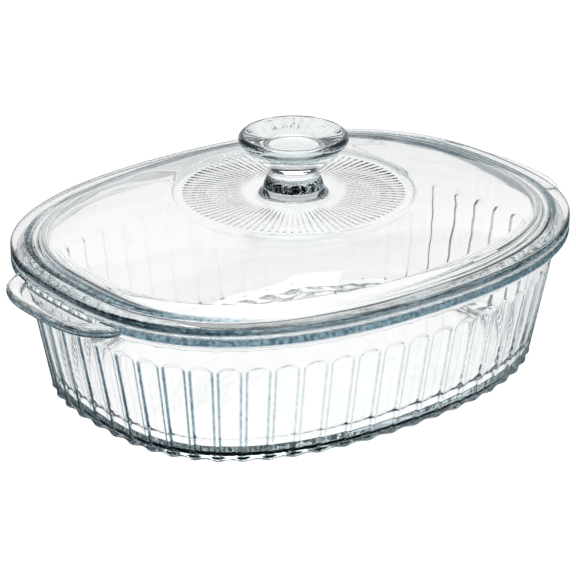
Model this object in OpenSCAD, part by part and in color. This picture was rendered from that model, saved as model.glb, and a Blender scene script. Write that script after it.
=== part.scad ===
// Covered oval casserole dish in clear pressed glass.
// The dish is one pressing: fluted wall, flat rim, two lug handles, foot ring.
// The lid is one pressing: flat flange, locating skirt, low dome, ribbed disc, knob.
// +Z is up, X runs lug to lug, and the origin is at the middle of the base.

/* [Rim] */
// Length of the oval rim, lugs left out
rim_length = 300; // [250:1:370]
// Width of the oval rim
rim_width = 243; // [200:1:300]
// Height of the rim's top face above the table
dish_height = 78; // [64:1:110]
// Height of the rim's outer face
rim_face = 5.6; // [4:0.1:8]
// How far the rim stands out past the wall under it
rim_overhang = 5.8; // [5:0.1:10]
// Edge break along the rim
rim_round = 1.2; // [0.6:0.1:1.6]

/* [Wall and base] */
// Thickness of the side wall, taken behind the ridges
wall = 6; // [4.5:0.5:9]
// Thickness of the floor
floor_thickness = 6.5; // [5:0.5:10]
// Lean of the wall from upright, in degrees
wall_lean = 11; // [5:1:18]
// Outer radius where the wall turns under
heel_radius = 5; // [5:0.5:12]
// Inner radius between wall and floor
corner_radius = 13; // [8:1:18]
// Width of the foot ring
foot_width = 9; // [5:0.5:14]
// Depth of the shallow recess inside the foot ring
foot_recess = 1.2; // [0.6:0.1:2]

/* [Flutes] */
// Number of flutes round the wall
flutes = 56; // [40:4:60]
// Depth of each flute's panel below its ridges
flute_depth = 1.6; // [0.6:0.1:2.2]
// Height of the plain band between the flutes' arches and the rim
plain_band = 13.4; // [8:0.2:20]
// How much lower an arch springs at its ridges than at its middle
flute_arch = 3.5; // [1:0.5:6]

/* [Lug handles] */
// How far a lug stands out past the rim
lug_reach = 15.5; // [10:0.5:22]
// Width of a lug along the rim
lug_span = 92; // [80:1:130]
// Thickness of the bead round a lug
lug_thickness = 5.2; // [4:0.1:7]
// How far a lug's underside hangs below the rim's
lug_drop = 1.4; // [0.5:0.1:3]
// Thickness of the web inside the bead
lug_web = 3; // [2:0.1:4]
// Width of the bead at the tip of a lug
lug_bead = 5.2; // [4:0.1:7]
// Width of the thumb recess along the rim
thumb_span = 64; // [50:1:72]

/* [Lid] */
// Thickness of the lid's flange at its outer edge
lid_edge = 4.8; // [3.5:0.1:7]
// Width of the flat flange
flange_width = 8.5; // [6:0.5:11]
// Thickness of the domed glass
lid_glass = 4.6; // [3.5:0.1:6]
// Rise of the dome above the flange
dome_rise = 17; // [12:0.5:30]
// Depth of the locating skirt below the rim's top face
skirt_depth = 4; // [2.5:0.5:6]
// Thickness of the locating skirt
skirt_width = 4.5; // [3:0.5:6]

/* [Ribbed disc and knob] */
// Diameter of the disc in the middle of the dome
disc_d = 129; // [100:1:156]
// Number of radial ribs on the disc
ribs = 92; // [60:4:100]
// Height of a rib
rib_height = 0.7; // [0.4:0.1:1.2]
// Height of the knob above the disc
knob_height = 32.5; // [26:0.5:40]
// Diameter of the knob's head
knob_d = 58; // [48:1:68]
// Diameter of the knob's neck
neck_d = 27; // [22:0.2:34]

/* [Fit] */
// Gap left under the flange where the lid sits on the rim
seat_gap = 0.3; // [0.2:0.1:0.6]
// Side clearance between the locating skirt and the mouth
skirt_gap = 1; // [0.6:0.1:2]

/* [Hidden] */
$fn = 96;

// The oval rim: |x/a|^end_power + |y/b|^side_power = 1
end_power = 2.27;
side_power = 2.62;
half_l = rim_length / 2;
half_w = rim_width / 2;

// Heights that the two pieces share
rim_bottom = dish_height - rim_face;
flute_top = rim_bottom - plain_band;
seat = dish_height + seat_gap;
lid_top_edge = seat + lid_edge;
flange_crown = 0.5;
dome_base = lid_top_edge + flange_crown;
disc_top = dome_base + dome_rise;
disc_r = disc_d / 2;

// Steps of the table that spaces points evenly round the oval
walk_steps = 720;
walk_turn = 360 / walk_steps;

function signed_pow(v, e) = sign(v) * pow(abs(v), e);

// Point of the rim oval at parameter t
function oval(t) = [
    half_l * signed_pow(cos(t), 2 / end_power),
    half_w * signed_pow(sin(t), 2 / side_power)
];

// Unit outward direction of the oval at one of its points
function oval_out(p) = let (
    g = [
        signed_pow(p[0] / half_l, end_power - 1) * end_power / half_l,
        signed_pow(p[1] / half_w, side_power - 1) * side_power / half_w
    ]
) g / norm(g);

walk_points = [for (i = [0 : walk_steps]) oval(i * walk_turn)];
walk_lengths = [
    for (i = 0, s = 0; i <= walk_steps;
        s = s + (i < walk_steps ? norm(walk_points[i + 1] - walk_points[i]) : 0), i = i + 1) s
];
walk_total = walk_lengths[walk_steps];
walk_table = [for (i = [0 : walk_steps]) [walk_lengths[i], i * walk_turn]];

// Oval point at a share of the way round, pushed outwards by u
function rim_point(share, u) = let (
    p = oval(lookup(share * walk_total, walk_table))
) p + u * oval_out(p);

// X of the rim's edge at a distance y from the long axis
function rim_x(y) = half_l * pow(1 - pow(abs(y) / half_w, side_power), 1 / end_power);

// Closed solid through rings of equal length, first ring capped below, last one above
module skin(rings) {
    n = len(rings[0]);
    m = len(rings);
    points = [for (r = rings) for (p = r) p];
    sides = [
        for (i = [0 : m - 2]) for (j = [0 : n - 1]) let (
            a = i * n + j,
            b = i * n + (j + 1) % n,
            c = a + n,
            d = b + n
        ) each [[a, c, d], [a, d, b]]
    ];
    bottom = [for (j = [0 : n - 1]) j];
    top = [for (j = [n - 1 : -1 : 0]) (m - 1) * n + j];
    polyhedron(points = points, faces = concat([bottom], sides, [top]), convexity = 10);
}

// ---- Dish ----

// Offsets from the rim's edge, inwards negative
lean_tan = tan(wall_lean);
lean_cos = cos(wall_lean);
lean_sin = sin(wall_lean);
function wall_out(z) = -rim_overhang - (rim_bottom - z) * lean_tan;
function wall_in(z) = wall_out(z) - wall / lean_cos;
heel_u = wall_out(heel_radius * (1 - lean_sin)) - heel_radius * lean_cos;
corner_z = floor_thickness + corner_radius;
corner_u = wall_in(corner_z - corner_radius * lean_sin) - corner_radius * lean_cos;
mouth_u = wall_in(dish_height);

// Where the four points of each flute lie along it, and how far each is sunk
flute_at = [0, 0.13, 0.5, 0.87];
flute_sink = [0, 0.85, 1, 0.85];
flute_points = len(flute_at);
dish_n = flutes * flute_points;
function dish_share(j) = (floor(j / flute_points) + flute_at[j % flute_points]) / flutes;
function sink(j) = flute_depth * flute_sink[j % flute_points];
function arch_drop(j) = flute_arch * pow(2 * flute_at[j % flute_points] - 1, 2);

function dish_point(j, u, z) = let (p = rim_point(dish_share(j), u)) [p[0], p[1], z];
function plain_ring(u, z) = [for (j = [0 : dish_n - 1]) dish_point(j, u, z)];
function sunk_ring(u, z, f) = [for (j = [0 : dish_n - 1]) dish_point(j, u - f * sink(j), z)];

// Height, at point j, of the arches' line moved down by below
function arch_z(j, below) = flute_top - arch_drop(j) - below;
function arch_ring(below, f) = [
    for (j = [0 : dish_n - 1]) let (z = arch_z(j, below)) dish_point(j, wall_out(z) - f * sink(j), z)
];

// Outer heel and inner corner, a degrees round from straight down
function heel_ring(a, f) = sunk_ring(
    heel_u + heel_radius * sin(a), heel_radius * (1 - cos(a)), f
);
function corner_ring(a) = plain_ring(
    corner_u + corner_radius * sin(a), corner_z - corner_radius * cos(a)
);
arch_blend = 2.6;
wall_turn = 90 - wall_lean;

dish_rings = [
    heel_ring(0, 0),
    heel_ring(wall_turn * 0.3, 0.5),
    heel_ring(wall_turn * 0.65, 1),
    heel_ring(wall_turn, 1),
    arch_ring(arch_blend, 1),
    arch_ring(0, 0),
    plain_ring(wall_out(rim_bottom - rim_round), rim_bottom - rim_round),
    plain_ring(-rim_overhang + rim_round, rim_bottom),
    plain_ring(-rim_round, rim_bottom),
    plain_ring(0, rim_bottom + rim_round),
    plain_ring(0, dish_height - rim_round),
    plain_ring(-rim_round, dish_height),
    plain_ring(mouth_u + rim_round, dish_height),
    plain_ring(wall_in(dish_height - rim_round), dish_height - rim_round),
    corner_ring(wall_turn),
    corner_ring(wall_turn * 0.75),
    corner_ring(wall_turn * 0.5),
    corner_ring(wall_turn * 0.25),
    corner_ring(0)
];

// Lug: a flat tab with a thumb recess in its top
lug_steps = 24;
lug_power = 4;
lug_root = rim_overhang + wall / 3;
lug_bottom = rim_bottom - lug_drop;
lug_top = lug_bottom + lug_thickness;
function tab_reach(y, span, reach) = reach * (1 - pow(abs(2 * y / span), lug_power));
function tab_edge(span, reach) = [
    for (i = [-lug_steps : lug_steps]) let (y = i * span / 2 / lug_steps)
        [rim_x(y) + tab_reach(y, span, reach), y]
];
function tab_root(span) = [
    for (i = [lug_steps : -1 : -lug_steps]) let (
        y = i * span / 2 / lug_steps,
        p = [rim_x(y), y],
        q = p - lug_root * oval_out(p)
    ) q
];

module lug() {
    translate([0, 0, lug_bottom])
        difference() {
            linear_extrude(lug_thickness)
                polygon(concat(tab_edge(lug_span, lug_reach), tab_root(lug_span)));
            translate([0, 0, lug_web])
                linear_extrude(lug_thickness)
                    polygon(tab_edge(thumb_span, lug_reach - lug_bead));
        }
}

// Even oval moved inwards from the rim's edge
module oval_face(u, n) {
    polygon([for (i = [0 : n - 1]) rim_point(i / n, u)]);
}

module dish() {
    color([0.80, 0.88, 0.90, 0.45])
        difference() {
            union() {
                skin(dish_rings);
                lug();
                mirror([1, 0, 0])
                    lug();
            }
            translate([0, 0, -foot_recess])
                linear_extrude(2 * foot_recess)
                    oval_face(heel_u - foot_width, 2 * flutes);
        }
}

// ---- Lid ----

lid_n = 2 * ribs;
dome_power = 1.6;
rim_ring_w = 0.8;
rib_inner = neck_d / 2 + 11;
rib_outer = disc_r - 5;
rib_ramp = 1.6;
disc_floor = disc_top - rib_height;
skirt_out = wall_in(dish_height - skirt_depth) - skirt_gap;
skirt_in = skirt_out - skirt_width;
skirt_bottom = dish_height - skirt_depth;

function lid_ring(u, z) = [
    for (j = [0 : lid_n - 1]) let (p = rim_point(j / lid_n, u)) [p[0], p[1], z]
];
function round_ring(r, z) = [
    for (j = [0 : lid_n - 1]) [r * cos(360 * j / lid_n), r * sin(360 * j / lid_n), z]
];

// Ring a share w of the way from the oval at offset u to the circle r, rising as a dome
function dome_ring(w, u, r, z, rise) = [
    for (j = [0 : lid_n - 1]) let (
        p = rim_point(j / lid_n, u),
        q = [r * cos(360 * j / lid_n), r * sin(360 * j / lid_n)],
        at = p * (1 - w) + q * w
    ) [at[0], at[1], z + rise * (1 - pow(1 - w, dome_power))]
];

// Every second point of the ribbed rings is lifted to a rib's crest
function rib_ring(r) = [
    for (j = [0 : lid_n - 1])
        [r * cos(360 * j / lid_n), r * sin(360 * j / lid_n), disc_floor + rib_height * (1 - j % 2)]
];

under_top = disc_top - lid_glass;
under_base = lid_top_edge + 0.8;
dome_steps = [0.12, 0.26, 0.42, 0.6, 0.8];

lid_rings = concat(
    [round_ring(disc_r - 2, under_top)],
    [for (i = [4 : -1 : 0]) dome_ring(dome_steps[i], skirt_in, disc_r - 2, under_base, under_top - under_base)],
    [
        lid_ring(skirt_in, under_base - 1.5),
        lid_ring(skirt_in + 0.6, skirt_bottom + 0.6),
        lid_ring(skirt_in + 1.2, skirt_bottom),
        lid_ring(skirt_out - 1, skirt_bottom),
        lid_ring(skirt_out, skirt_bottom + 1),
        lid_ring(skirt_out, seat),
        lid_ring(-rim_round, seat),
        lid_ring(0, seat + rim_round),
        lid_ring(0, lid_top_edge - rim_round),
        lid_ring(-rim_round, lid_top_edge),
        lid_ring(-flange_width, dome_base)
    ],
    [for (w = dome_steps) dome_ring(w, -flange_width, disc_r, dome_base, dome_rise)],
    [
        round_ring(disc_r, disc_top),
        round_ring(disc_r - rim_ring_w, disc_floor),
        round_ring(rib_outer, disc_floor),
        rib_ring(rib_outer - rib_ramp),
        rib_ring(rib_inner + rib_ramp),
        round_ring(rib_inner, disc_floor)
    ]
);

// Half outline of the knob as [radius, height above the disc's floor]
knob_r = knob_d / 2;
neck_r = neck_d / 2;
belly = knob_height - 3;
knob_outline = [
    [0, -lid_glass / 2],
    [neck_r + 4, -lid_glass / 2],
    [neck_r + 5.4, 0.2],
    [neck_r + 3.6, 1.2],
    [neck_r + 2.7, 3],
    [neck_r + 2.2, 5],
    [neck_r + 1.4, 7.2],
    [neck_r + 0.4, 9.4],
    [neck_r, 11.2],
    [neck_r + 0.3, 12.8],
    [neck_r + 1.1, 14.4],
    [neck_r + 2.7, 16.2],
    [knob_r - 10.5, belly - 11.2],
    [knob_r - 8, belly - 9.1],
    [knob_r - 5.2, belly - 6.6],
    [knob_r - 2.4, belly - 3.9],
    [knob_r - 0.6, belly - 1.7],
    [knob_r, belly],
    [knob_r - 0.4, belly + 1.4],
    [knob_r - 1.4, knob_height - 0.5],
    [knob_r - 2.4, knob_height],
    [knob_r - 3.4, knob_height - 0.3],
    [knob_r - 7, knob_height - 0.6],
    [knob_r * 0.4, knob_height - 0.9],
    [0, knob_height - 1]
];

module knob() {
    translate([0, 0, disc_floor])
        rotate_extrude()
            polygon(knob_outline);
}

module lid() {
    color([0.86, 0.91, 0.92, 0.4])
        union() {
            skin(lid_rings);
            knob();
        }
}

dish();
lid();
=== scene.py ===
import math

import bpy
import numpy as np
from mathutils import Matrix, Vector


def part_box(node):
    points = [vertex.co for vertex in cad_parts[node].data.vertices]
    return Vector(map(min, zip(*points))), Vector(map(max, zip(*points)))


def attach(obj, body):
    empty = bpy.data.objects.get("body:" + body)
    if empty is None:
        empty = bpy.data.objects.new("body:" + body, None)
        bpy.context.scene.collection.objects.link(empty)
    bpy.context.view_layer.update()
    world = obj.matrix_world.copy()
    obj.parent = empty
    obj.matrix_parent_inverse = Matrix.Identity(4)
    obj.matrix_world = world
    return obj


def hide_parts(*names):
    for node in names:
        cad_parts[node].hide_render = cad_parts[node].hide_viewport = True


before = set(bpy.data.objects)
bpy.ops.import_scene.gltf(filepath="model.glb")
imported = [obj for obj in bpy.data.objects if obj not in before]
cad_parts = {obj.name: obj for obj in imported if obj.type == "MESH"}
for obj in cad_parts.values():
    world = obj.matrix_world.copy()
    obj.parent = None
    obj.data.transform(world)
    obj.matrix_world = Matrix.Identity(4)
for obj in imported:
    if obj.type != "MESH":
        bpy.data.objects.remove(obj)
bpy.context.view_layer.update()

# ---------------------------------------------------------------------------
# Camera. A long lens looks down on the dish over its front left corner,
# which is how covered dishes are shown: both lugs and the knob are in view.
# ---------------------------------------------------------------------------
VIEW_AZIMUTH = math.radians(-38.43)
VIEW_ELEVATION = math.radians(23.43)
VIEW_DISTANCE = 1.5529
AIM = Vector((0.0, 0.0, 0.040))
SENSOR = 36.0
LENS = 180.9375
SHIFT_ACROSS = -0.0097
SHIFT_UP = 0.0117

view_back = Vector((
    math.sin(VIEW_AZIMUTH) * math.cos(VIEW_ELEVATION),
    -math.cos(VIEW_AZIMUTH) * math.cos(VIEW_ELEVATION),
    math.sin(VIEW_ELEVATION),
))
camera_data = bpy.data.cameras.new("camera")
camera_data.sensor_width = SENSOR
camera_data.lens = LENS
camera_data.shift_x = SHIFT_ACROSS
camera_data.shift_y = SHIFT_UP
camera_data.clip_start = 0.01
camera_data.clip_end = 50.0
camera = bpy.data.objects.new("camera", camera_data)
camera.location = AIM + view_back * VIEW_DISTANCE
camera.rotation_euler = view_back.to_track_quat("Z", "Y").to_euler()
bpy.context.scene.collection.objects.link(camera)
bpy.context.scene.camera = camera

# ---------------------------------------------------------------------------
# Dish. One pressing in clear glass: a fluted oval wall that leans out to a
# flat rim, a lug handle at each end, a smooth inside and a foot ring below.
# The mould leaves the flutes sharp and the flame rounds every rim.
# ---------------------------------------------------------------------------
MM = 0.001
dish_low, dish_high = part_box("dish")
RIM_WIDTH = (dish_high.y - dish_low.y) / MM
RIM_HEIGHT = dish_high.z / MM
LUG_REACH = 15.5
RIM_LENGTH = (dish_high.x - dish_low.x) / MM - 2 * LUG_REACH
END_POWER = 2.27
SIDE_POWER = 2.62


def rim_oval(turn):
    """Points of the rim's outline, |x/a|^END_POWER + |y/b|^SIDE_POWER = 1, at angles turn."""
    c, s = np.cos(turn), np.sin(turn)
    x = RIM_LENGTH / 2 * np.sign(c) * np.abs(c) ** (2 / END_POWER)
    y = RIM_WIDTH / 2 * np.sign(s) * np.abs(s) ** (2 / SIDE_POWER)
    return np.stack([x, y], axis=-1)


def oval_frame(share):
    """Outline points at shares of the way round, and the outward direction at each.

    The way round is measured on a fine outline, so equal shares are equal lengths."""
    fine = np.linspace(0.0, 2 * np.pi, 7201)
    points = rim_oval(fine)
    steps = np.linalg.norm(np.diff(points, axis=0), axis=1)
    walked = np.concatenate([[0.0], np.cumsum(steps)])
    at = rim_oval(np.interp(share * walked[-1], walked, fine))
    x, y = at[:, 0], at[:, 1]
    gx = np.sign(x) * np.abs(2 * x / RIM_LENGTH) ** (END_POWER - 1) * END_POWER / RIM_LENGTH
    gy = np.sign(y) * np.abs(2 * y / RIM_WIDTH) ** (SIDE_POWER - 1) * SIDE_POWER / RIM_WIDTH
    out = np.stack([gx, gy], axis=-1)
    return at, out / np.linalg.norm(out, axis=1, keepdims=True)


def smooth(t):
    """0 below 0, 1 above 1, and 3t^2 - 2t^3 between."""
    t = np.clip(t, 0.0, 1.0)
    return t * t * (3 - 2 * t)


def arc(centre_u, centre_z, radius, start, end, count):
    """Points (u, z) on a circle from angle start to angle end, in degrees from straight down."""
    a = np.radians(np.linspace(start, end, count))
    return np.stack([centre_u + radius * np.sin(a), centre_z - radius * np.cos(a)], axis=-1)


def straight(start, end, count):
    """Points evenly along a line, without its two ends."""
    t = np.linspace(0.0, 1.0, count + 2)[1:-1, None]
    return np.array(start) * (1 - t) + np.array(end) * t


def skin_mesh(name, rings, painted_shades):
    """One closed mesh through a list of rings, each an array of points in millimetres.

    Neighbouring rings have as many points each, or one has a whole multiple of the other's;
    a ring of one point is a pole. Rings run from the middle underneath, outwards and up,
    to the middle on top, counter-clockwise from above, so every face points outwards.
    The last argument holds one number or one array per ring: how much shade is painted into
    the glass's colour there, from 0 where it is clear to about 1 along a dark edge. This painted
    shade stands in for the dark surroundings that the glass's edges show."""
    counts = [len(r) for r in rings]
    starts = np.concatenate([[0], np.cumsum(counts)])
    corners, per_face = [], []
    for k in range(len(rings) - 1):
        n, m = counts[k], counts[k + 1]
        most, least = max(n, m), min(n, m)
        ratio = most // least
        j = np.arange(most)
        if n == m:
            j_next = (j + 1) % n
            here, above = starts[k], starts[k + 1]
            quad = np.stack([here + j, here + j_next, above + j_next, above + j], axis=1)
            corners.append(quad.reshape(-1))
            per_face.append(np.full(n, 4))
            continue
        fine = starts[k] if n > m else starts[k + 1]
        coarse = starts[k + 1] if n > m else starts[k]
        a, b = fine + j, fine + (j + 1) % most
        c = coarse + j // ratio
        tri = np.stack([a, b, c] if n > m else [b, a, c], axis=1)
        corners.append(tri.reshape(-1))
        per_face.append(np.full(most, 3))
        if least > 1:
            i = np.arange(least)
            i_next = (i + 1) % least
            meet = fine + ((i + 1) * ratio) % most
            c, d = coarse + i, coarse + i_next
            tri = np.stack([meet, d, c] if n > m else [c, d, meet], axis=1)
            corners.append(tri.reshape(-1))
            per_face.append(np.full(least, 3))
    corners = np.concatenate(corners)
    per_face = np.concatenate(per_face)
    points = np.concatenate(rings) * MM
    mesh = bpy.data.meshes.new(name)
    mesh.vertices.add(len(points))
    mesh.vertices.foreach_set("co", points.astype(np.float32).reshape(-1))
    mesh.loops.add(len(corners))
    mesh.loops.foreach_set("vertex_index", corners.astype(np.int32))
    mesh.polygons.add(len(per_face))
    first = np.concatenate([[0], np.cumsum(per_face)[:-1]])
    mesh.polygons.foreach_set("loop_start", first.astype(np.int32))
    mesh.polygons.foreach_set("loop_total", per_face.astype(np.int32))
    mesh.polygons.foreach_set("use_smooth", np.ones(len(per_face), bool))
    mesh.update(calc_edges=True)
    mesh.validate()
    # painted shade, one number per point, kept as an attribute for the glass material
    painted_shade = np.concatenate([np.broadcast_to(d, len(ring)) for d, ring in zip(painted_shades, rings)])
    mesh.attributes.new("painted_shade", "FLOAT", "POINT").data.foreach_set("value", painted_shade.astype(np.float32))
    piece = bpy.data.objects.new(name, mesh)
    bpy.context.scene.collection.objects.link(piece)
    return piece


# the wall and rim, in millimetres, as offsets u from the rim's edge and heights z
RIM_FACE = 5.6
RIM_OVERHANG = 5.8
RIM_ROUND = 1.3
WALL = 6.0
FLOOR = 6.5
LEAN = math.radians(11.0)
HEEL = 5.0
CORNER = 13.0
FOOT_WIDTH = 9.0
FOOT_RECESS = 1.2
RIM_UNDER = RIM_HEIGHT - RIM_FACE


def wall_out(z):
    """Offset of the wall's outer face at height z."""
    return -RIM_OVERHANG - (RIM_UNDER - z) * math.tan(LEAN)


def wall_in(z):
    """Offset of the wall's inner face at height z."""
    return wall_out(z) - WALL / math.cos(LEAN)


HEEL_U = wall_out(HEEL * (1 - math.sin(LEAN))) - HEEL * math.cos(LEAN)
CORNER_Z = FLOOR + CORNER
CORNER_U = wall_in(CORNER_Z - CORNER * math.sin(LEAN)) - CORNER * math.cos(LEAN)
FOOT_IN = HEEL_U - FOOT_WIDTH
WALL_TURN = 90.0 - math.degrees(LEAN)

# flutes: panels sunk between narrow ridges, each with an arched top; round the tight ends the
# mould cuts deeper, and shade is painted along the ridge sides, darkest at the tight ends
FLUTES = 56
FLUTE_DEPTH = 0.65
END_DEPTH = 1.15
FLUTE_TOP = RIM_UNDER - 13.4
FLUTE_ARCH = 3.5
ARCH_BLEND = 2.8
RIDGE = 0.24
TIGHT_FROM = 0.72
TIGHT_OVER = 0.20
# amounts of shade painted along the ridge sides: at the sides, more at the shoulders and tight ends
SIDE_PAINTED_SHADE = 0.22
SHOULDER_PAINTED_SHADE = 0.35
END_PAINTED_SHADE = 0.6
flute_at = np.array([0, .02, .04, .065, .09, .12, .17, .3, .5, .7, .83, .88, .91, .935, .96, .98])
flute_share = ((np.arange(FLUTES)[:, None] + flute_at) / FLUTES).reshape(-1)
flute_q = np.tile(flute_at, FLUTES)
ridge_near = np.minimum(flute_q, 1 - flute_q)
panel = smooth(ridge_near / RIDGE) * (0.82 + 0.18 * np.sin(np.pi * flute_q))
# where shade is painted: the two sides of each ridge
ridge_side = np.clip(1 - np.abs(ridge_near - 0.10) / 0.06, 0.0, 1.0)
heel_panel = 0.5 - 0.5 * np.cos(2 * np.pi * flute_q)
arch_drop = FLUTE_ARCH * (2 * flute_q - 1) ** 2
wall_at, wall_dir = oval_frame(flute_share)
along = np.abs(wall_at[:, 0]) / (RIM_LENGTH / 2)
tight = smooth((along - TIGHT_FROM) / TIGHT_OVER)
flute_depth = FLUTE_DEPTH + (END_DEPTH - FLUTE_DEPTH) * tight
shoulder = smooth((along - 0.5) / 0.25)
# painted shade along the ridge sides, darker towards the tight ends
ridge_painted_shade = (SIDE_PAINTED_SHADE + SHOULDER_PAINTED_SHADE * shoulder + END_PAINTED_SHADE * tight) * ridge_side

RIM_POINTS = FLUTES * len(flute_at)
rim_at, rim_dir = oval_frame(np.arange(RIM_POINTS) / RIM_POINTS)
INSIDE_POINTS = RIM_POINTS // 2
inside_at, inside_dir = oval_frame(np.arange(INSIDE_POINTS) / INSIDE_POINTS)


def offset_ring(at, out, u, z):
    """The outline pushed out by u and lifted to z; u and z are numbers or one per point."""
    flat = at + out * np.reshape(u, (-1, 1))
    return np.column_stack([flat, np.broadcast_to(z, len(at))])


def shrunk_rings(ring, shares):
    """Copies of a flat ring shrunk towards its middle."""
    return [ring * np.array([s, s, 1.0]) for s in shares]


# underneath: shallow recess, foot ring
recess_edge = offset_ring(inside_at, inside_dir, FOOT_IN - 1.0, FOOT_RECESS)
dish_rings = [np.array([[0.0, 0.0, FOOT_RECESS]])]
dish_rings += shrunk_rings(recess_edge, [0.3, 0.65, 0.9, 1.0])
for u, z in [(-0.4, 0.95), (0.2, 0.45), (0.8, 0.1), (1.6, 0.0), (4.5, 0.0)]:
    dish_rings.append(offset_ring(inside_at, inside_dir, FOOT_IN + u, z))
# how much shade is painted on each of the dish's rings; none underneath
dish_painted_shades = [0.0] * len(dish_rings)

# heel: each ridge swells to a bead that stands on the table, with the panels lifted between
BEAD_SWELL = 0.8
PANEL_LIFT = 0.9
HEEL_ROWS = 11
# shade painted over the heel, a little darker along the ridge sides there
HEEL_PAINTED_SHADE = 0.25
BEAD_PAINTED_SHADE = 0.15
for k, (u, z) in enumerate(arc(HEEL_U, HEEL, HEEL, 0.0, WALL_TURN, HEEL_ROWS)):
    rise = k / (HEEL_ROWS - 1)
    low = float(1 - smooth((rise - 0.3) / 0.7))
    sink = flute_depth * (panel * (1 - low) + heel_panel * low)
    swell = BEAD_SWELL * (1 - heel_panel) * math.sin(math.pi * rise) ** 0.6
    lift = PANEL_LIFT * heel_panel * float(1 - smooth(rise / 0.8))
    dish_rings.append(offset_ring(wall_at, wall_dir, u - sink + swell, z + lift))
    dish_painted_shades.append(HEEL_PAINTED_SHADE + BEAD_PAINTED_SHADE * ridge_side)

# fluted wall, its rows bending to the arches near the top
wall_low = HEEL * (1 - math.sin(LEAN))
wall_rows = np.concatenate([
    [wall_low + 0.8, wall_low + 1.6, wall_low + 2.4],
    np.linspace(wall_low + 3.4, FLUTE_TOP - 6.0, 10),
    FLUTE_TOP - ARCH_BLEND * np.array([1.6, 1.15, 1.0, 0.85, 0.7, 0.55, 0.4, 0.25, 0.12, 0.0, -0.3]),
    np.linspace(FLUTE_TOP + 2.0, RIM_UNDER - 3.0, 5),
])
for level in wall_rows:
    bend = smooth((level - 30.0) / 22.0) * smooth((RIM_UNDER - 2.0 - level) / 9.0)
    z = level - arch_drop * bend
    below_arch = smooth((FLUTE_TOP - level) / ARCH_BLEND)
    sink = flute_depth * panel * below_arch
    dish_rings.append(offset_ring(wall_at, wall_dir, wall_out(z) - sink, z))
    # painted shade: fading out above the heel, and along the ridge sides below the arches
    heel_shade_fade = HEEL_PAINTED_SHADE * smooth((wall_low + 2.8 - level) / 1.6)
    dish_painted_shades.append(heel_shade_fade + ridge_painted_shade * below_arch)

# how far the lug and the thumb recess in its top stand out, round the rim
LUG_SPAN = 92.0
LUG_POWER = 4.0
LUG_DROP = 1.4
LUG_THICK = 5.2
LUG_WEB = 3.0
LUG_BEAD = 5.2
THUMB_SPAN = 64.0


def tab_reach(span, reach):
    """reach * (1 - |2y / span|^LUG_POWER) at the two ends of the rim, and 0 elsewhere."""
    at_end = np.abs(rim_at[:, 0]) > RIM_LENGTH / 4
    off_middle = np.clip(2 * np.abs(rim_at[:, 1]) / span, 0.0, 1.0)
    return np.where(at_end, reach * (1 - off_middle ** LUG_POWER), 0.0)


reach = tab_reach(LUG_SPAN, LUG_REACH)
thumb = tab_reach(THUMB_SPAN, LUG_REACH - LUG_BEAD)
is_lug = smooth(reach / 3.5)
thumb_sunk = smooth(thumb / 2.2)
lug_low = RIM_UNDER - LUG_DROP
lug_high = lug_low + LUG_THICK
BEAD_ROUND = LUG_THICK / 2
EDGE_ROWS = 13
# amounts of shade painted under the rim, on the rim's upright face and along the lug
UNDER_PAINTED_SHADE = 0.08
RIM_PAINTED_SHADE = 0.9
LUG_PAINTED_SHADE = 1.2
FILLET = 2.2

# under the rim, out to the edge; the lug hangs a little lower
fillet_u = FILLET - RIM_OVERHANG
fillet = arc(fillet_u, RIM_UNDER - FILLET, FILLET, 270.0 + math.degrees(LEAN), 180.0, 5)
for k, (u, z) in enumerate(fillet):
    share = k / (len(fillet) - 1)
    dish_rings.append(offset_ring(rim_at, rim_dir, u, z - LUG_DROP * is_lug * share ** 2))
    dish_painted_shades.append(UNDER_PAINTED_SHADE)
under_out = (reach - BEAD_ROUND) * is_lug - RIM_ROUND * (1 - is_lug)
for f in (0.3, 0.6, 0.85):
    u = fillet_u * (1 - f) + under_out * f
    dish_rings.append(offset_ring(rim_at, rim_dir, u, RIM_UNDER - LUG_DROP * is_lug))
    dish_painted_shades.append(UNDER_PAINTED_SHADE)

# the rim's upright face, or the lug's rounded bead
plain_rows = np.concatenate([
    arc(-RIM_ROUND, RIM_UNDER + RIM_ROUND, RIM_ROUND, 0.0, 90.0, 5),
    straight((0.0, RIM_UNDER + RIM_ROUND), (0.0, RIM_HEIGHT - RIM_ROUND), EDGE_ROWS - 5),
])
for k, (u, z) in enumerate(plain_rows):
    share = k / (EDGE_ROWS - 1)
    turn = math.pi * share
    bead_u = reach - BEAD_ROUND + BEAD_ROUND * math.sin(turn) ** 0.8
    bead_z = lug_low + BEAD_ROUND - BEAD_ROUND * math.cos(turn)
    row_z = z * (1 - is_lug) + bead_z * is_lug
    dish_rings.append(offset_ring(rim_at, rim_dir, u * (1 - is_lug) + bead_u * is_lug, row_z))
    # painted shade: a band up the rim's upright face, two dark lines along the lug's bead
    band = RIM_PAINTED_SHADE * smooth((z - RIM_UNDER - 0.9) / 0.5)
    bead_band = LUG_PAINTED_SHADE * math.exp(-((share - 0.36) / 0.07) ** 2)
    bead_band += LUG_PAINTED_SHADE * math.exp(-((share - 0.62) / 0.05) ** 2)
    dish_painted_shades.append(band * (1 - is_lug) + bead_band * is_lug)

# across the lug: down its recess, along the web and up the rim's face; the same rows stand
# close together at the top of the plain rim
recess_drop = (lug_high - lug_low - LUG_WEB) * thumb_sunk
lug_in = np.minimum(thumb, reach - BEAD_ROUND)
across = [(1.9, 0.0), (1.5, 0.08), (1.0, 0.3), (0.5, 0.7), (0.0, 0.94), (-0.5, 1.0)]
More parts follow.
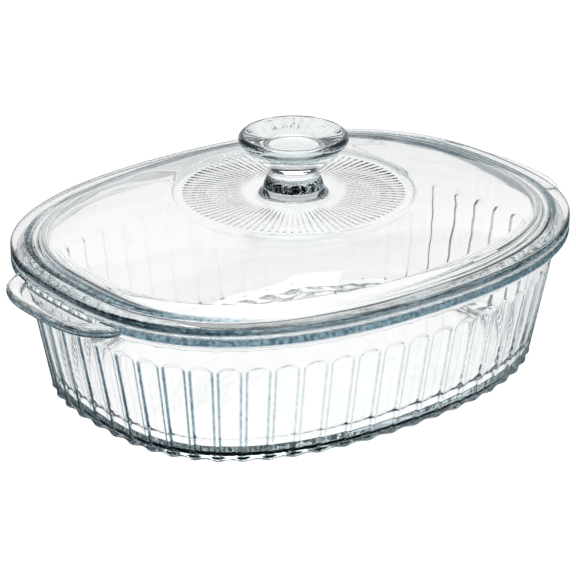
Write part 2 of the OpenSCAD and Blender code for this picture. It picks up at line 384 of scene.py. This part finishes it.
# each row's last number is shade painted on the lug's recess wall or at the foot of the rim's face
lug_rows = [(lug_in + f, lug_high - recess_drop * g, 0.9 * (0.5 < g < 0.8)) for f, g in across]
lug_rows += [(lug_in * f + 0.9 * (1 - f), lug_high - recess_drop, 0.0) for f in (0.7, 0.4, 0.08)]
lug_rows += [
    (0.8 - 0.8 * f, (lug_high - recess_drop) * (1 - f) + (RIM_HEIGHT - RIM_ROUND) * f, 0.9 * (f < 0.2))
    for f in (0.1, 0.3, 0.55, 0.8)
]
# painted shade: the row's own on the lug, a dark band along the top of the plain rim
for k, (u, z, lug_painted_shade) in enumerate(lug_rows):
    share = (k + 1) / (len(lug_rows) + 1)
    plain_z = RIM_HEIGHT - RIM_ROUND - 0.5 * (1 - share)
    dish_rings.append(offset_ring(rim_at, rim_dir, u * is_lug, z * is_lug + plain_z * (1 - is_lug)))
    dish_painted_shades.append(lug_painted_shade * is_lug * thumb_sunk + RIM_PAINTED_SHADE * (1 - is_lug))
# painted shade fading round the rim's top rounding, half as dark on the lugs
for k, (u, z) in enumerate(arc(-RIM_ROUND, RIM_HEIGHT - RIM_ROUND, RIM_ROUND, 90.0, 180.0, 6)):
    dish_rings.append(offset_ring(rim_at, rim_dir, u, z))
    dish_painted_shades.append(RIM_PAINTED_SHADE * smooth((2.4 - k) / 2.0) * (1 - 0.5 * is_lug))

# flat rim, mouth, smooth inside and floor; shade is painted on the mouth where the ends turn tightly
MOUTH_PAINTED_SHADE = 1.4
mouth = wall_in(RIM_HEIGHT)
inside = np.concatenate([
    straight((-RIM_ROUND, RIM_HEIGHT), (mouth + RIM_ROUND, RIM_HEIGHT), 4),
    arc(mouth + RIM_ROUND, RIM_HEIGHT - RIM_ROUND, RIM_ROUND, 180.0, 262.0, 6),
    straight((wall_in(RIM_HEIGHT - 1.6), RIM_HEIGHT - 1.6), (wall_in(30.0), 30.0), 7),
    arc(CORNER_U, CORNER_Z, CORNER, WALL_TURN, 0.0, 15),
])
inside_tight = smooth((np.abs(inside_at[:, 0]) / (RIM_LENGTH / 2) - 0.88) / 0.08)
for k, (u, z) in enumerate(inside):
    dish_rings.append(offset_ring(inside_at, inside_dir, u, z))
    # painted shade on the mouth's rounding, only at the tight ends
    at_mouth = 5 <= k <= 9
    dish_painted_shades.append(MOUTH_PAINTED_SHADE * inside_tight * at_mouth)
dish_rings += shrunk_rings(dish_rings[-1], [0.9, 0.65, 0.3])
dish_rings.append(np.array([[0.0, 0.0, FLOOR]]))
dish_painted_shades += [0.0] * (len(dish_rings) - len(dish_painted_shades))

dish = skin_mesh("dish_glass", dish_rings, dish_painted_shades)


def glass_and_painted_shade_group():
    """What the press and the flame leave on the glass, and the shade painted into its colour, as a
    group of nodes.

    Slow noise bends the surface a little, as cooling does. Where shade is painted, along rims,
    ridges and the heel, fine noise mottles the painted colour and dimples the surface."""
    group = bpy.data.node_groups.new("pressed_glass_and_painted_shade", "ShaderNodeTree")
    sockets = group.interface
    for name, kind, value in [
        ("Painted Shade", "NodeSocketFloat", 0.0),
        ("Sway", "NodeSocketFloat", 0.0005),
        ("Mottle Size", "NodeSocketFloat", 300.0),
    ]:
        sockets.new_socket(name, in_out="INPUT", socket_type=kind).default_value = value
    for name, kind in [
        ("Colour", "NodeSocketColor"), ("Roughness", "NodeSocketFloat"), ("Normal", "NodeSocketVector"),
    ]:
        sockets.new_socket(name, in_out="OUTPUT", socket_type=kind)
    nodes, links = group.nodes, group.links
    inputs = nodes.new("NodeGroupInput")
    outputs = nodes.new("NodeGroupOutput")
    place = nodes.new("ShaderNodeTexCoord")

    slow = nodes.new("ShaderNodeTexNoise")
    slow.inputs["Scale"].default_value = 26.0
    slow.inputs["Detail"].default_value = 1.0
    links.new(place.outputs["Object"], slow.inputs["Vector"])
    sway = nodes.new("ShaderNodeBump")
    links.new(inputs.outputs["Sway"], sway.inputs["Distance"])
    links.new(slow.outputs["Fac"], sway.inputs["Height"])

    # fine noise mottles the painted shade and dimples the surface where shade is painted
    fine = nodes.new("ShaderNodeTexNoise")
    fine.inputs["Detail"].default_value = 2.0
    links.new(inputs.outputs["Mottle Size"], fine.inputs["Scale"])
    links.new(place.outputs["Object"], fine.inputs["Vector"])
    dimple = nodes.new("ShaderNodeMath")
    dimple.operation = "MULTIPLY"
    links.new(inputs.outputs["Painted Shade"], dimple.inputs[0])
    links.new(fine.outputs["Fac"], dimple.inputs[1])
    peel = nodes.new("ShaderNodeBump")
    peel.inputs["Distance"].default_value = 0.0007
    links.new(dimple.outputs["Value"], peel.inputs["Height"])
    links.new(sway.outputs["Normal"], peel.inputs["Normal"])
    links.new(peel.outputs["Normal"], outputs.inputs["Normal"])

    # the painted shade's colour: dark steel-blue, mottled
    steel = nodes.new("ShaderNodeValToRGB")
    steel.color_ramp.elements[0].position = 0.38
    steel.color_ramp.elements[0].color = (0.003, 0.014, 0.026, 1.0)
    steel.color_ramp.elements[1].position = 0.64
    steel.color_ramp.elements[1].color = (0.050, 0.112, 0.155, 1.0)
    links.new(fine.outputs["Fac"], steel.inputs["Fac"])
    # painted shade: the mottled steel-blue to the power of the painted shade amount, white where none
    # is painted
    painted_shade_colour = nodes.new("ShaderNodeGamma")
    links.new(steel.outputs["Color"], painted_shade_colour.inputs["Color"])
    links.new(inputs.outputs["Painted Shade"], painted_shade_colour.inputs["Gamma"])
    links.new(painted_shade_colour.outputs["Color"], outputs.inputs["Colour"])

    polish = nodes.new("ShaderNodeMapRange")
    polish.inputs["From Min"].default_value = 0.35
    polish.inputs["From Max"].default_value = 0.70
    polish.inputs["To Min"].default_value = 0.0
    polish.inputs["To Max"].default_value = 0.03
    links.new(slow.outputs["Fac"], polish.inputs["Value"])
    links.new(polish.outputs["Result"], outputs.inputs["Roughness"])
    return group


GLASS_AND_PAINTED_SHADE = glass_and_painted_shade_group()


def clear_glass(name, sway, mottle_size):
    """Clear pressed glass with a faint steel-blue body colour.

    Dark steel-blue shade is painted into the base colour along rims, ridges and edges, only on
    faces turned to the viewer, not on the far walls seen through the piece; this painted shade
    stands in for the dark surroundings seen through the glass. Lamps shine through the glass."""
    material = bpy.data.materials.new(name)
    material.use_nodes = True
    nodes, links = material.node_tree.nodes, material.node_tree.links
    nodes.clear()
    output = nodes.new("ShaderNodeOutputMaterial")
    glass = nodes.new("ShaderNodeBsdfPrincipled")
    glass.inputs["IOR"].default_value = 1.48
    glass.inputs["Transmission Weight"].default_value = 1.0
    painted_shade = nodes.new("ShaderNodeAttribute")
    painted_shade.attribute_name = "painted_shade"
    face = nodes.new("ShaderNodeNewGeometry")
    # painted shade only on faces turned to the viewer, none on far walls seen through the piece
    front_painted_shade = nodes.new("ShaderNodeMath")
    front_painted_shade.operation = "SUBTRACT"
    front_painted_shade.use_clamp = True
    links.new(painted_shade.outputs["Fac"], front_painted_shade.inputs[0])
    links.new(face.outputs["Backfacing"], front_painted_shade.inputs[1])
    surface = nodes.new("ShaderNodeGroup")
    surface.node_tree = GLASS_AND_PAINTED_SHADE
    surface.inputs["Sway"].default_value = sway
    surface.inputs["Mottle Size"].default_value = mottle_size
    links.new(front_painted_shade.outputs["Value"], surface.inputs["Painted Shade"])
    # the painted shade goes into the base colour
    links.new(surface.outputs["Colour"], glass.inputs["Base Color"])
    links.new(surface.outputs["Roughness"], glass.inputs["Roughness"])
    links.new(surface.outputs["Normal"], glass.inputs["Normal"])
    lamps = nodes.new("ShaderNodeBsdfTransparent")
    lamps.inputs["Color"].default_value = (0.97, 0.97, 0.97, 1.0)
    path = nodes.new("ShaderNodeLightPath")
    mix = nodes.new("ShaderNodeMixShader")
    links.new(path.outputs["Is Shadow Ray"], mix.inputs["Fac"])
    links.new(glass.outputs["BSDF"], mix.inputs[1])
    links.new(lamps.outputs["BSDF"], mix.inputs[2])
    links.new(mix.outputs["Shader"], output.inputs["Surface"])
    body = nodes.new("ShaderNodeVolumeAbsorption")
    body.inputs["Color"].default_value = (0.62, 0.76, 0.80, 1.0)
    body.inputs["Density"].default_value = 5.0
    links.new(body.outputs["Volume"], output.inputs["Volume"])
    return material


dish.data.materials.append(clear_glass("dish_glass", sway=0.0004, mottle_size=480.0))
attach(dish, "dish")
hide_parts("dish")

# ---------------------------------------------------------------------------
# Lid. One pressing in the same glass: a flat flange that lies on the rim, a
# skirt that locates it in the mouth, a low dome, a disc of fine radial ribs
# and a round knob on a waisted neck.
# ---------------------------------------------------------------------------
lid_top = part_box("lid")[1].z / MM
SEAT = RIM_HEIGHT + 0.3
LID_EDGE = 4.8
LID_ROUND = 1.5
FLANGE = 8.5
LID_GLASS = 4.6
DOME_RISE = 17.0
SKIRT_LOW = RIM_HEIGHT - 4.0
SKIRT_OUT = wall_in(SKIRT_LOW) - 1.0
SKIRT_IN = SKIRT_OUT - 4.5
EDGE_TOP = SEAT + LID_EDGE
DOME_BASE = EDGE_TOP + 0.5
DOME_POWER = 1.6
DISC_TOP = DOME_BASE + DOME_RISE
DISC_R = 64.5
RIBS = 92
RIB_HEIGHT = 0.7
RIB_CREST = 0.3
DISC_FLOOR = DISC_TOP - RIB_HEIGHT
NECK_R = 13.5
KNOB_R = 29.0
KNOB_HEIGHT = lid_top - DISC_FLOOR

LID_PLAIN = 4 * RIBS
LID_FINE = 12 * RIBS
KNOB_SIDES = 2 * RIBS
lid_at, lid_dir = oval_frame(np.arange(LID_PLAIN) / LID_PLAIN)


def round_ring(count, radius, z):
    """A circle of count points; z is a number or one per point."""
    turn = 2 * np.pi * np.arange(count) / count
    return np.column_stack([radius * np.cos(turn), radius * np.sin(turn), np.broadcast_to(z, count)])


def dome_rings(start_u, radius, low, high, shares):
    """Rings from the oval at offset start_u to a circle, rising as 1 - (1 - share)^DOME_POWER."""
    oval = offset_ring(lid_at, lid_dir, start_u, low)
    circle = round_ring(LID_PLAIN, radius, low)
    lift = [(high - low) * (1 - (1 - w) ** DOME_POWER) for w in shares]
    return [oval * (1 - w) + circle * w + [0, 0, up] for w, up in zip(shares, lift)]


# amounts of shade painted on the lid's edge and on the crease at the dome's foot
EDGE_PAINTED_SHADE = 0.5
EDGE_END_PAINTED_SHADE = 0.8
CREASE_PAINTED_SHADE = 0.9
UNDER_TOP = DISC_TOP - LID_GLASS
UNDER_BASE = EDGE_TOP + 0.8
lid_rings = [np.array([[0.0, 0.0, UNDER_TOP]])]
lid_rings += [round_ring(LID_PLAIN, r, UNDER_TOP) for r in (12.0, 30.0, 50.0, DISC_R - 2)]
lid_rings += dome_rings(SKIRT_IN, DISC_R - 2, UNDER_BASE, UNDER_TOP, np.linspace(1.0, 0.02, 18)[1:])
skirt = np.concatenate([
    [(SKIRT_IN, UNDER_BASE - 1.2), (SKIRT_IN + 0.2, (UNDER_BASE + SKIRT_LOW) / 2)],
    arc(SKIRT_IN + 1.8, SKIRT_LOW + 1.4, 1.4, 290.0, 360.0, 5),
    arc(SKIRT_OUT - 1.4, SKIRT_LOW + 1.4, 1.4, 0.0, 85.0, 5),
    [(SKIRT_OUT, SEAT - 1.2), (SKIRT_OUT + 0.15, SEAT - 0.4), (SKIRT_OUT + 0.8, SEAT)],
    straight((SKIRT_OUT + 0.8, SEAT), (-LID_ROUND, SEAT), 3),
])
lid_rings += [offset_ring(lid_at, lid_dir, u, z) for u, z in skirt]
lid_painted_shades = [0.0] * len(lid_rings)

# the rounded edge, the flat flange and the dome; shade is painted on the edge, and on the crease
# where the dome starts, darkest at the tight ends
lid_tight = smooth((np.abs(lid_at[:, 0]) / (RIM_LENGTH / 2) - 0.60) / 0.30)
edge = np.concatenate([
    arc(-LID_ROUND, SEAT + LID_ROUND, LID_ROUND, 0.0, 90.0, 7),
    arc(-LID_ROUND, EDGE_TOP - LID_ROUND, LID_ROUND, 90.0, 176.0, 7),
])
for k, (u, z) in enumerate(edge):
    share = k / (len(edge) - 1)
    lid_rings.append(offset_ring(lid_at, lid_dir, u, z))
    # painted shade in a band round the edge
    edge_band = math.exp(-((share - 0.55) / 0.22) ** 2)
    lid_painted_shades.append((EDGE_PAINTED_SHADE + EDGE_END_PAINTED_SHADE * lid_tight) * edge_band)
for u, z in straight((-LID_ROUND, EDGE_TOP), (-FLANGE, DOME_BASE), 4):
    lid_rings.append(offset_ring(lid_at, lid_dir, u, z))
    lid_painted_shades.append(0.0)
lid_rings.append(offset_ring(lid_at, lid_dir, -FLANGE, DOME_BASE))
lid_painted_shades.append(CREASE_PAINTED_SHADE * lid_tight)
lid_rings += dome_rings(-FLANGE, DISC_R, DOME_BASE, DISC_TOP, np.linspace(0.0, 1.0, 22)[1:-1])
lid_rings += [round_ring(LID_PLAIN, DISC_R, DISC_TOP)]

# the disc: a fine step at its edge, then ribs that swell and fade
rib_turn = np.arange(LID_FINE) / LID_FINE * RIBS
rib_wave = (0.5 + 0.5 * np.cos(2 * np.pi * rib_turn)) ** 3
RIB_OUT = DISC_R - 5.0
RIB_IN = NECK_R + 11.0
for r, z in [(DISC_R - 0.3, -0.05), (DISC_R - 0.6, -0.3), (DISC_R - 0.9, -0.62), (DISC_R - 1.3, -0.7)]:
    lid_rings.append(round_ring(LID_FINE, r, DISC_TOP + z))
for r in np.concatenate([
    RIB_OUT - np.array([-0.3, 0.3, 0.8, 1.3, 2.0, 3.0]),
    np.linspace(RIB_OUT - 8.0, RIB_IN + 8.0, 5),
    RIB_IN + np.array([5.0, 3.0, 2.0, 1.2, 0.6, 0.0]),
]):
    crest = smooth((RIB_OUT - r) / 2.0) * smooth((r - RIB_IN) / 12.0)
    lid_rings.append(round_ring(LID_FINE, r, DISC_FLOOR + RIB_CREST * crest * rib_wave))

# the knob's outline as radii and heights over the disc's floor, drawn smooth through its points
# amounts of shade painted in a band on the knob's foot and round under its belly
FOOT_PAINTED_SHADE = 0.12
BELLY_PAINTED_SHADE = 0.35
BELLY = KNOB_HEIGHT - 3.0
knob_points = np.array([
    (NECK_R + 6.6, 0.0), (NECK_R + 5.0, 0.3), (NECK_R + 3.6, 1.3), (NECK_R + 2.7, 3.0),
    (NECK_R + 2.2, 5.0), (NECK_R + 1.4, 7.2), (NECK_R + 0.4, 9.4), (NECK_R, 11.2),
    (NECK_R + 0.3, 12.8), (NECK_R + 1.1, 14.4), (NECK_R + 2.7, 16.2), (KNOB_R - 10.5, BELLY - 11.2),
    (KNOB_R - 8.0, BELLY - 9.1), (KNOB_R - 5.2, BELLY - 6.6), (KNOB_R - 2.4, BELLY - 3.9),
    (KNOB_R - 0.6, BELLY - 1.7), (KNOB_R, BELLY), (KNOB_R - 0.4, BELLY + 1.4),
    (KNOB_R - 1.4, KNOB_HEIGHT - 0.5), (KNOB_R - 2.4, KNOB_HEIGHT), (KNOB_R - 3.4, KNOB_HEIGHT - 0.3),
    (KNOB_R - 7.0, KNOB_HEIGHT - 0.6), (KNOB_R * 0.4, KNOB_HEIGHT - 0.9), (0.0, KNOB_HEIGHT - 1.0),
])


def smooth_curve(points, each):
    """A Catmull-Rom curve through the points, with each steps between neighbours."""
    padded = np.concatenate([[2 * points[0] - points[1]], points, [2 * points[-1] - points[-2]]])
    t = (np.arange(each) / each)[None, :, None]
    a, b, c, d = (padded[k:len(padded) - 3 + k, None, :] for k in range(4))
    square = (2 * a - 5 * b + 4 * c - d) * t ** 2
    cube = (3 * b - a - 3 * c + d) * t ** 3
    curve = 0.5 * (2 * b + (c - a) * t + square + cube)
    return np.concatenate([curve.reshape(-1, 2), points[-1:]])


lid_painted_shades += [0.0] * (len(lid_rings) - len(lid_painted_shades))
for r, h in smooth_curve(knob_points, 3)[:-1]:
    lid_rings.append(round_ring(KNOB_SIDES, r, DISC_FLOOR + min(h, KNOB_HEIGHT)))
    # painted shade bands on the knob's foot and belly
    foot_band = FOOT_PAINTED_SHADE * smooth((h - 1.5) / 1.2) * smooth((7.5 - h) / 1.5)
    belly_band = BELLY_PAINTED_SHADE * math.exp(-((h - BELLY + 2.5) / 2.4) ** 2) * float(r > KNOB_R - 8)
    lid_painted_shades.append(float(foot_band + belly_band))
lid_rings.append(np.array([[0.0, 0.0, DISC_FLOOR + KNOB_HEIGHT - 1.0]]))
lid_painted_shades.append(0.0)

lid = skin_mesh("lid_glass", lid_rings, lid_painted_shades)
lid.data.materials.append(clear_glass("lid_glass", sway=0.0006, mottle_size=420.0))
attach(lid, "lid")
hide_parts("lid")

# ---------------------------------------------------------------------------
# Floor and light. A plain pale table under one large soft panel, with a tall
# one behind the dish and a narrow one at each side.
# ---------------------------------------------------------------------------
FLOOR_GLOW = 0.94
FLOOR_REACH = 4.0
floor_mesh = bpy.data.meshes.new("floor")
floor_corners = [(x * FLOOR_REACH, y * FLOOR_REACH, 0) for x, y in [(-1, -1), (1, -1), (1, 1), (-1, 1)]]
floor_mesh.from_pydata(floor_corners, [], [(0, 1, 2, 3)])
floor = bpy.data.objects.new("floor", floor_mesh)
floor.location.z = -0.0004
bpy.context.scene.collection.objects.link(floor)
floor_material = bpy.data.materials.new("floor")
floor_material.use_nodes = True
floor_shader = floor_material.node_tree.nodes["Principled BSDF"]
floor_shader.inputs["Base Color"].default_value = (0.25, 0.25, 0.25, 1.0)
floor_shader.inputs["Roughness"].default_value = 0.8
floor_shader.inputs["Emission Color"].default_value = (1.0, 1.0, 1.0, 1.0)
floor_shader.inputs["Emission Strength"].default_value = FLOOR_GLOW
floor_mesh.materials.append(floor_material)
floor.visible_glossy = False

PANEL_COLOUR = (1.0, 0.98, 0.95)


def panel_light(name, place, aim, size, power):
    """A rectangular soft panel of that size in metres, turned from its place to the aim point."""
    data = bpy.data.lights.new(name, "AREA")
    data.shape = "RECTANGLE"
    data.size, data.size_y = size
    data.energy = power
    data.color = PANEL_COLOUR
    lamp = bpy.data.objects.new(name, data)
    lamp.location = place
    lamp.rotation_euler = (Vector(place) - Vector(aim)).to_track_quat("Z", "Y").to_euler()
    bpy.context.scene.collection.objects.link(lamp)
    return lamp


panel_light("overhead", (0.3, 0.5, 2.0), (0, 0, 0), (1.2, 0.8), 12.0)
panel_light("back", (1.05, 1.35, 0.72), (0, 0, 0.3), (2.6, 1.4), 7.2)
panel_light("left", (-1.6, -0.2, 1.1), (0, 0, 0.05), (0.35, 1.2), 1.6)
panel_light("right", (1.5, -0.9, 1.3), (0, 0, 0.05), (0.3, 1.2), 1.6)

# the room: a pale backdrop, and slate walls that only the glass picks up
BACKDROP = (0.90, 0.90, 0.90, 1.0)
LOW_SKY = (0.060, 0.100, 0.127, 1.0)
HIGH_SKY = (0.022, 0.034, 0.043, 1.0)
world = bpy.data.worlds.new("world")
world.use_nodes = True
sky = world.node_tree
coordinates = sky.nodes.new("ShaderNodeTexCoord")
split = sky.nodes.new("ShaderNodeSeparateXYZ")
ramp = sky.nodes.new("ShaderNodeValToRGB")
sky.links.new(coordinates.outputs["Generated"], split.inputs["Vector"])
sky.links.new(split.outputs["Z"], ramp.inputs["Fac"])
path = sky.nodes.new("ShaderNodeLightPath")
backdrop = sky.nodes.new("ShaderNodeMix")
backdrop.data_type = "RGBA"
backdrop.inputs["B"].default_value = BACKDROP
sky.links.new(path.outputs["Is Camera Ray"], backdrop.inputs["Factor"])
sky.links.new(ramp.outputs["Color"], backdrop.inputs["A"])
sky.links.new(backdrop.outputs["Result"], sky.nodes["Background"].inputs["Color"])
ramp.color_ramp.elements[0].position = 0.0
ramp.color_ramp.elements[0].color = LOW_SKY
ramp.color_ramp.elements[1].position = 0.25
ramp.color_ramp.elements[1].color = HIGH_SKY
bpy.context.scene.world = world

scene = bpy.context.scene
scene.view_settings.view_transform = "Standard"
scene.cycles.max_bounces = 24
scene.cycles.transmission_bounces = 20
scene.cycles.glossy_bounces = 12
scene.cycles.transparent_max_bounces = 24
